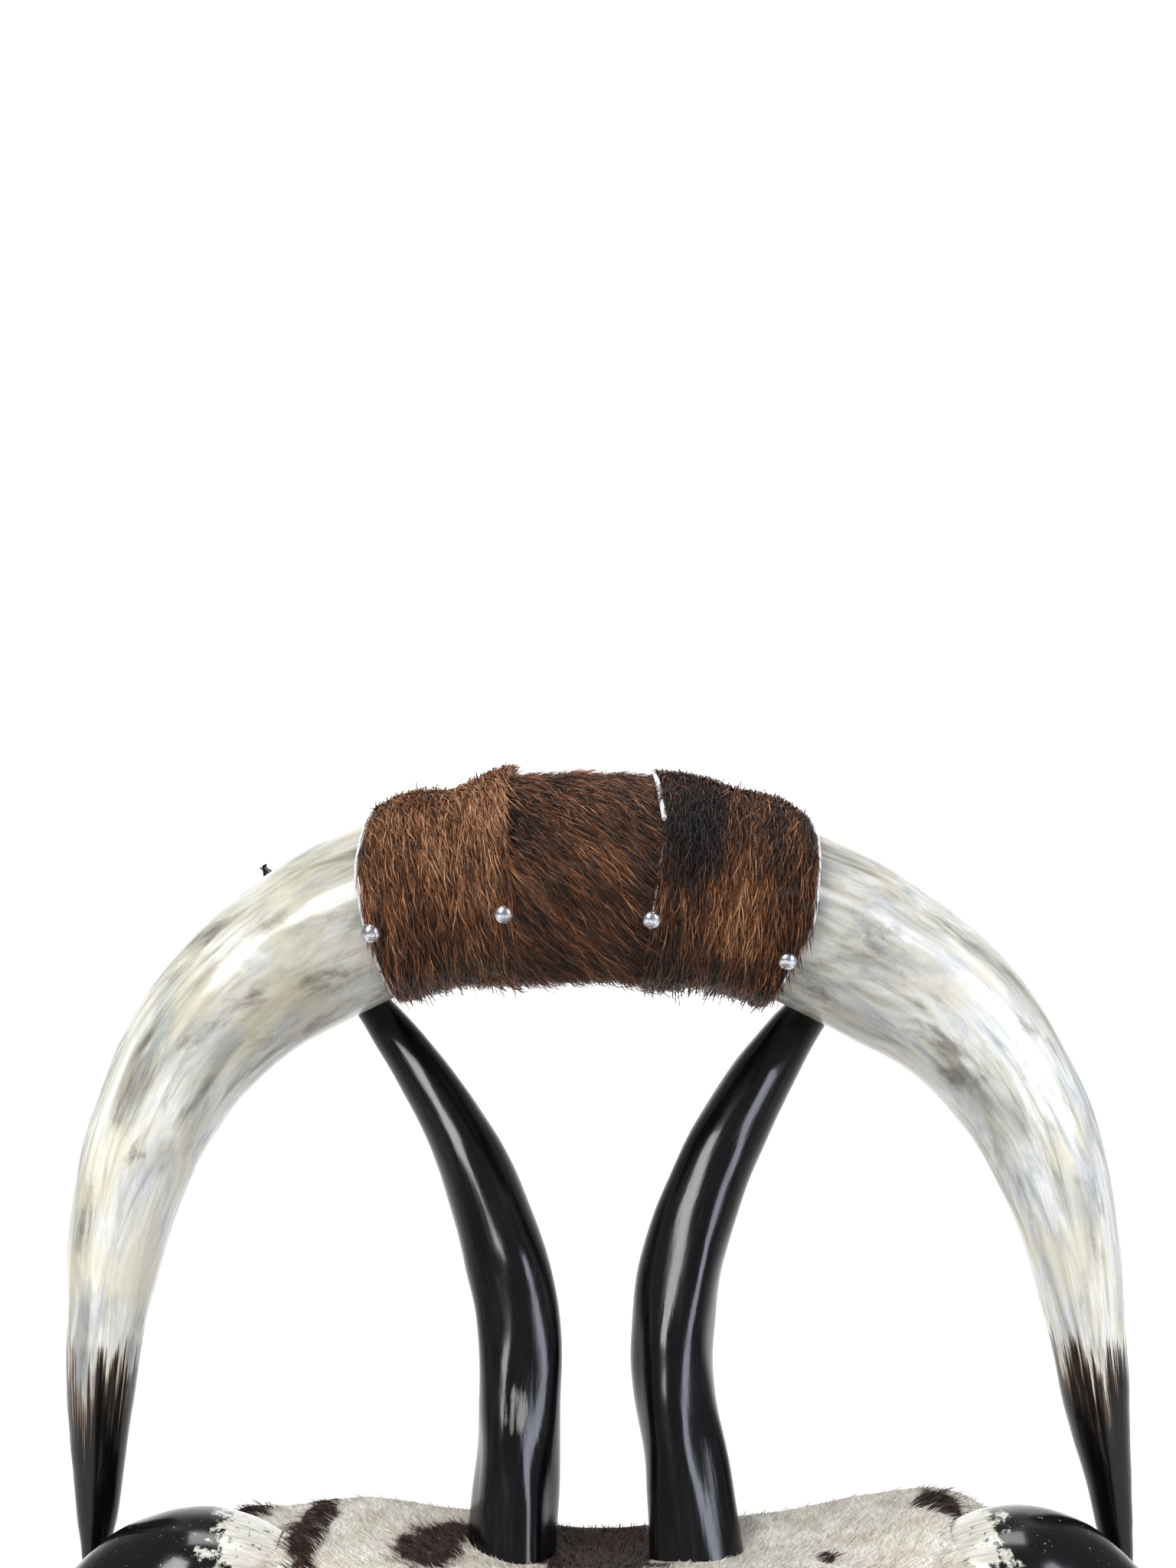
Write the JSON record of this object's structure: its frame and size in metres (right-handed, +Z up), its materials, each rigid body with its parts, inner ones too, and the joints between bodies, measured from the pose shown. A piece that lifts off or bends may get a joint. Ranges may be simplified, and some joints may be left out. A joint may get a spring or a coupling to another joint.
{
  "type": "horn chair",
  "caption": "Side chair whose legs, splats and arched back are real horns, with a hide-wrapped joint in the arch and a padded hide seat.",
  "frame": {"origin": "on the floor, under the middle of the chair's box", "axes": "+Z up, +X to the right as seen from the front, -Y the way the sitter faces"},
  "size_m": [0.8764, 0.5911, 1.0211],
  "materials": {
    "pale_horn": "polished",
    "black_horn": "polished",
    "leg_horn": "polished",
    "brown_hide": "hair-on hide",
    "seat_hide": "hair-on hide",
    "felt": "matte",
    "foot_felt": "matte",
    "foam": "matte",
    "beech": "planed",
    "plywood": "sanded",
    "stained_wood": "satin",
    "nail_steel": "polished",
    "screw_steel": "zinc plated",
    "black_cloth": "matte"
  },
  "bodies": {
    "root": {"left_arch_horn": "pale_horn", "right_arch_horn": "pale_horn", "left_splat_horn": "black_horn", "right_splat_horn": "black_horn", "front_left_leg_horn": "leg_horn", "front_right_leg_horn": "leg_horn", "rear_left_leg_horn": "leg_horn", "rear_right_leg_horn": "leg_horn", "arch_core": "beech", "core_screws": "screw_steel", "wrap_padding": "felt", "left_hide_wrap": "brown_hide", "centre_hide_wrap": "brown_hide", "right_hide_wrap": "brown_hide", "wrap_nails_front": "nail_steel", "wrap_nails_rear": "nail_steel", "arch_tip_screws": "screw_steel", "splat_tip_screws": "screw_steel", "splat_plugs": "beech", "splat_bolts": "screw_steel", "splat_washers": "screw_steel", "leg_plugs": "beech", "leg_bolts": "screw_steel", "leg_washers": "screw_steel", "foot_pads": "foot_felt", "seat_board": "plywood", "board_screws": "screw_steel", "seat_pad": "foam", "seat_hide": "seat_hide", "hide_tacks": "screw_steel", "left_rail": "stained_wood", "right_rail": "stained_wood", "front_rail": "stained_wood", "rear_rail": "stained_wood", "rail_screws": "screw_steel", "corner_blocks": "beech", "dust_cover": "black_cloth"}
  },
  "joints": []
}
